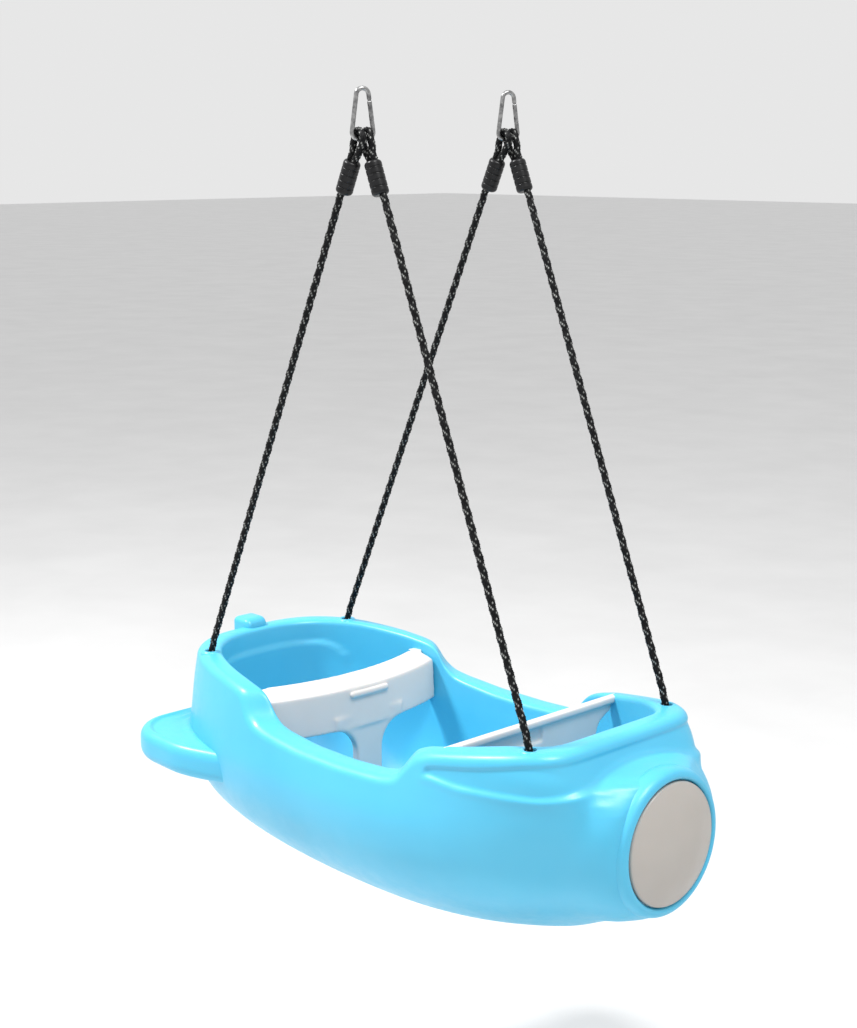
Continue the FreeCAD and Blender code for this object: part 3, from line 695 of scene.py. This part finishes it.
holes = [(x, side * rope["holeSide"]) for x in (rope["rearHole"], rope["frontHole"]) for side in (-1, 1)]
verts, faces = boreRods(holes)
boreCutter = makeMesh("ropeBores", toFrame(verts), faces, hullBlue)
faceOutwards(boreCutter)
cutAway(hullPiece, boreCutter)
smoothByAngle(hullPiece, 42)
print("stage: hull", len(hullPiece.data.polygons))


# tail plate, fin and nose ring run into the hull
tail = {"reach": 438, "halfSpan": 235, "corner": 66, "top": -884, "thick": 48, "tilt": 3.0,
        "taper": 42, "taperFrom": -330, "front": -190, "panelSink": 3.2}


def tailOutline(inset):
    reach, half, corner = tail["reach"] - inset, tail["halfSpan"] - inset, tail["corner"] - inset * 0.6
    side = [(-reach, y) for y in np.linspace(0, half - corner, 8)]
    for turn in np.linspace(0, math.pi / 2, 14)[1:]:
        side.append((-reach + corner * (1 - math.cos(turn)), half - corner * (1 - math.sin(turn))))
    for share in np.linspace(0, 1, 16)[1:]:
        x = -reach + corner + (tail["front"] + reach - corner) * share
        y = half - tail["taper"] * smoothStep(x, tail["taperFrom"], tail["front"] + 6)
        side.append((x, y))
    mirror = [(x, -y) for x, y in reversed(side[1:])]
    return np.array(mirror + side)


# sections round the plate's edge, from one side to the other; its inner edge stays in the hull's wall
def tailSections():
    flats = [12.0, 13.5, 15.0, 17.0, 19.0] + list(np.arange(23, 83, 4.0))
    rows = [(inset, 0.0) for inset in reversed(flats)]
    for turn in (15, 35, 55, 75, 90):
        angle = math.radians(turn)
        rows.append((12 * (1 - math.sin(angle)), -16 * (1 - math.cos(angle))))
    rows.append((0, -tail["thick"] / 2))
    for turn in (0, 20, 42, 66, 90):
        angle = math.radians(turn)
        rows.append((15 * (1 - math.cos(angle)), -tail["thick"] + 17 * (1 - math.sin(angle))))
    rows += [(26, -tail["thick"]), (48, -tail["thick"]), (79, -tail["thick"])]
    slope = math.tan(math.radians(tail["tilt"]))
    rings = []
    for inset, drop in rows:
        plan = tailOutline(inset)
        angles, reach = np.arctan2(plan[:, 1], plan[:, 0]), np.hypot(plan[:, 0], plan[:, 1])
        level = tail["top"] + drop - slope * plan[:, 0]
        wall = reachAt(angles, level, hull["outerLines"])
        if drop == 0:
            sink = smoothStep(inset, 12, 17.5) * smoothStep(reach - wall, 7, 12)
            ridge = np.exp(-((reach - wall - 6) / 4) ** 2)
            level = level - tail["panelSink"] * sink + 1.2 * ridge
        reach = np.maximum(reach, wall - 14)
        rings.append(np.column_stack([reach * np.cos(angles), reach * np.sin(angles), level]))
    return np.stack(rings, axis=1)


sections = tailSections()
verts, faces = closedGrid(sections, bottom=sections[0].mean(axis=0), top=sections[-1].mean(axis=0))
tailPiece = roundedPiece("tail_plate", toFrame(verts), faces, hullBlue)

# the fin stands on the rim's outer edge, and its foot stays in the hull's wall
fin = {"rear": -440, "topFront": -405, "rimFront": -397, "top": -735, "foot": -880, "half": 20,
       "round": 11}
profile = [(fin["rear"], fin["foot"]), (fin["rear"], fin["top"]), (fin["topFront"], fin["top"]),
           (fin["rimFront"], -749), (-409, -768), (-414, fin["foot"])]
rings = [np.array([(x, y, z) for x, z in profile]) for y in (-fin["half"], fin["half"])]
verts, faces = closedGrid(rings)
faces += [tuple(range(len(profile)))[::-1], tuple(range(len(profile), 2 * len(profile)))]
finPiece = makeMesh("fin", toFrame(verts), faces, hullBlue)
faceOutwards(finPiece)
rounding = finPiece.modifiers.new("rounding", "BEVEL")
rounding.width = fin["round"] * mm
rounding.segments = 6
rounding.limit_method = "ANGLE"
applyModifiers(finPiece)
smoothByAngle(finPiece, 50)


# rings of a turned piece, from its radius and its distance along the axis
def lathe(profile, centre, axis, count=96):
    rings = []
    for radius, run in profile:
        turns = [(radius * math.cos(t), radius * math.sin(t))
                 for t in np.linspace(0, math.tau, count, endpoint=False)]
        ring = [(run, a, b) if axis == "x" else (a, b, run) for a, b in turns]
        rings.append(np.array(ring) + centre)
    return rings


nose = {"centre": (0, 0, -879), "capEdge": 82.5, "capSeat": 416, "face": 424, "bulge": 20, "gap": 0.2,
        "ring": [(84.0, 404), (83.6, 417), (84.0, 421), (86.0, 423.8), (88.5, 424.4), (91.5, 423.6),
                 (94.5, 421.6), (97.0, 418.4), (98.6, 414.0), (99.6, 408), (99.8, 398), (93.0, 388)],
        "capRadii": (80, 76, 70, 62, 52, 40, 28, 16, 6)}
verts, faces = closedGrid(lathe(nose["ring"], nose["centre"], "x"), loop=True)
ringPiece = roundedPiece("nose_ring", toFrame(verts), faces, hullBlue)

edge, seat = nose["capEdge"], nose["capSeat"]
crown = nose["face"] + nose["bulge"] - nose["gap"]
ball = (edge**2 + nose["bulge"] ** 2) / (2 * nose["bulge"])
capProfile = [(edge - 0.6, seat), (edge, seat + 3), (edge - 0.1, seat + 6.4), (edge - 1.2, seat + 8.6)]
capProfile += [(radius, crown - ball + math.sqrt(ball**2 - radius**2)) for radius in nose["capRadii"]]
verts, faces = closedGrid(lathe(capProfile, nose["centre"], "x"), bottom=(seat, 0, nose["centre"][2]),
                          top=(crown, 0, nose["centre"][2]))
capPiece = roundedPiece("nose_cap_face", toFrame(verts), faces, capGrey)
smoothByAngle(capPiece, 40)
print("stage: tail, fin and nose")


# rope bosses: one small flared ring, set on the rim at each rope
boss = {"level": -750,
        "profile": [(16.5, -755), (14.8, -751.6), (13.0, -749.8), (11.6, -749.1), (9.2, -749.1),
                    (7.8, -749.9), (7.4, -752), (7.4, -770), (9.5, -772), (14.0, -765)]}


def bossTree():
    tree = bpy.data.node_groups.new("bosses", "GeometryNodeTree")
    face = tree.interface
    face.new_socket("Geometry", in_out="INPUT", socket_type="NodeSocketGeometry")
    face.new_socket("Boss", in_out="INPUT", socket_type="NodeSocketObject")
    face.new_socket("Material", in_out="INPUT", socket_type="NodeSocketMaterial")
    face.new_socket("Geometry", in_out="OUTPUT", socket_type="NodeSocketGeometry")
    g = NodeTree(tree)
    given = g.add("NodeGroupInput").outputs
    shape = g.add("GeometryNodeObjectInfo", {"Object": given["Boss"]})
    placed = g.add("GeometryNodeInstanceOnPoints", {"Points": given["Geometry"],
                                                    "Instance": shape.outputs["Geometry"]})
    real = g.add("GeometryNodeRealizeInstances", {"Geometry": placed.outputs[0]})
    painted = g.add("GeometryNodeSetMaterial", {"Geometry": real.outputs[0],
                                                "Material": given["Material"]})
    g.add("NodeGroupOutput", {"Geometry": painted.outputs[0]})
    return tree


# the profile's heights are on the rim's level, which the points that carry it have too
verts, faces = closedGrid(lathe(boss["profile"], (0, 0, -boss["level"]), "z", 40), loop=True)
oneBoss = roundedPiece("one_boss", np.array(verts) * mm, faces, hullBlue)
bossPiece = makeMesh("rope_bosses", toFrame([(x, y, boss["level"]) for x, y in holes]), [], hullBlue)
useTree(bossPiece, bossTree(), {"Boss": oneBoss, "Material": hullBlue})
applyModifiers(bossPiece)
bpy.data.objects.remove(oneBoss)
smoothByAngle(bossPiece, 60)
for piece in (hullPiece, tailPiece, finPiece, ringPiece, bossPiece):
    fitToFrame(piece, "swing", "hull_shell")
fitToFrame(capPiece, "swing", "nose_cap")
print("stage: bosses")


# restraint bar and console: the frame's shapes with every edge rounded as a moulding's are
barTab = {"side": 0.149, "front": -0.199, "top": -0.8396}   # in the frame's metres
softened = {"t_bar": {"voxel": 1.9, "passes": 22, "body": "restraint", "name": "restraint_bar"},
            "front_console": {"voxel": 1.7, "passes": 6, "body": "swing", "name": "console"}}


def softenNode(node, look):
    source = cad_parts[node]
    mesh = source.data.copy()
    bm = bmesh.new()
    bm.from_mesh(mesh)
    bm.transform(source.matrix_world)
    bmesh.ops.remove_doubles(bm, verts=bm.verts, dist=1e-6)
    for vert in bm.verts:
        if node == "t_bar" and abs(vert.co.y) > barTab["side"] and vert.co.x < barTab["front"]:
            vert.co.z = min(vert.co.z, barTab["top"])
    bm.to_mesh(mesh)
    bm.free()
    mesh.materials.clear()
    mesh.materials.append(trimWhite)
    obj = bpy.data.objects.new(look["name"], mesh)
    bpy.context.scene.collection.objects.link(obj)
    remesh = obj.modifiers.new("remesh", "REMESH")
    remesh.mode = "VOXEL"
    remesh.voxel_size = look["voxel"] * mm
    remesh.use_smooth_shade = True
    relax = obj.modifiers.new("relax", "SMOOTH")
    relax.factor = 0.5
    relax.iterations = look["passes"]
    applyModifiers(obj)
    fitToFrame(obj, look["body"], node)
    print("softened", node, len(obj.data.polygons))


for node, look in softened.items():
    softenNode(node, look)

# the moulded grip: a rounded bar that stands out from the restraint bar's face
grip = {"half": 38, "radius": 5.4, "x": -142.5, "z": -798, "barBend": 447}
rings = []
for step in range(-8, 9):
    turn = step * math.pi / 16.4
    middleY = (grip["half"] - grip["radius"]) * (1 if step > 0 else -1 if step < 0 else 0)
    y = middleY + grip["radius"] * math.sin(turn)
    radius = grip["radius"] * math.cos(turn)
    x = grip["x"] - (grip["barBend"] - math.sqrt(grip["barBend"] ** 2 - y**2))
    rings.append(np.array([(x + radius * math.cos(t), y, grip["z"] + radius * math.sin(t))
                           for t in np.linspace(0, math.tau, 24, endpoint=False)]))
verts, faces = closedGrid(rings, bottom=tuple(rings[0].mean(axis=0)), top=tuple(rings[-1].mean(axis=0)))
gripPiece = roundedPiece("bar_grip", toFrame(verts), faces, trimWhite)
fitToFrame(gripPiece, "restraint", "t_bar")


# the frame's own steel and black pieces keep their shapes
def paintNode(node, material):
    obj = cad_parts[node]
    for slotItem in obj.material_slots:
        slotItem.material = material


for side in ("right", "left"):
    for kind in ("hook_frame_", "hook_gate_", "hook_pin_", "hook_spring_"):
        paintNode(kind + side, hookSteel)
    for end in ("rear_", "front_"):
        paintNode("ferrule_" + end + side, ferruleBlack)
        paintNode("washer_" + end + side, hookSteel)
        paintNode("knot_" + end + side, ferruleBlack)
print("stage: bar, console and fittings")


# floor and light
studio = {"floor": -1.55, "floorShade": (0.70, 0.70, 0.70), "floorPale": (0.74, 0.74, 0.74),
          "floorReach": 40, "world": 0.80, "aim": (0.0, 0.0, -0.9),
          "lamps": {"key": {"place": (-1.9, -1.7, 2.6), "size": 0.7, "power": 185},
                    "top": {"place": (1.5, -0.3, 2.4), "size": 1.3, "power": 75}}}
floorMaterial, nodes, shader = newMaterial("paleFloor", {"Roughness": 0.75})
coords = nodes.add("ShaderNodeTexCoord").outputs["Object"]
tone = ramp(nodes, noise(nodes, coords, 3.0), [(0.3, studio["floorShade"]), (0.7, studio["floorPale"])])
nodes.tree.links.new(tone, shader.inputs["Base Color"])
far = studio["floorReach"]
corners = [(x, y, studio["floor"]) for x, y in ((-far, -far), (far, -far), (far, far), (-far, far))]
floorPiece = makeMesh("floor", corners, [(0, 1, 2, 3)], floorMaterial)

world = bpy.data.worlds.new("studio")
bpy.context.scene.world = world
world.use_nodes = True
background = world.node_tree.nodes["Background"]
background.inputs["Color"].default_value = (1.0, 1.0, 1.0, 1.0)
background.inputs["Strength"].default_value = studio["world"]


def softLamp(name, place, aim, size, power):
    data = bpy.data.lights.new(name, "AREA")
    data.shape = "DISK"
    data.size = size
    data.energy = power
    lamp = bpy.data.objects.new(name, data)
    lamp.location = place
    lamp.rotation_euler = (Vector(aim) - Vector(place)).to_track_quat("-Z", "Y").to_euler()
    bpy.context.scene.collection.objects.link(lamp)


for name, lamp in studio["lamps"].items():
    softLamp(name, lamp["place"], studio["aim"], lamp["size"], lamp["power"])
print("stage: floor and light")
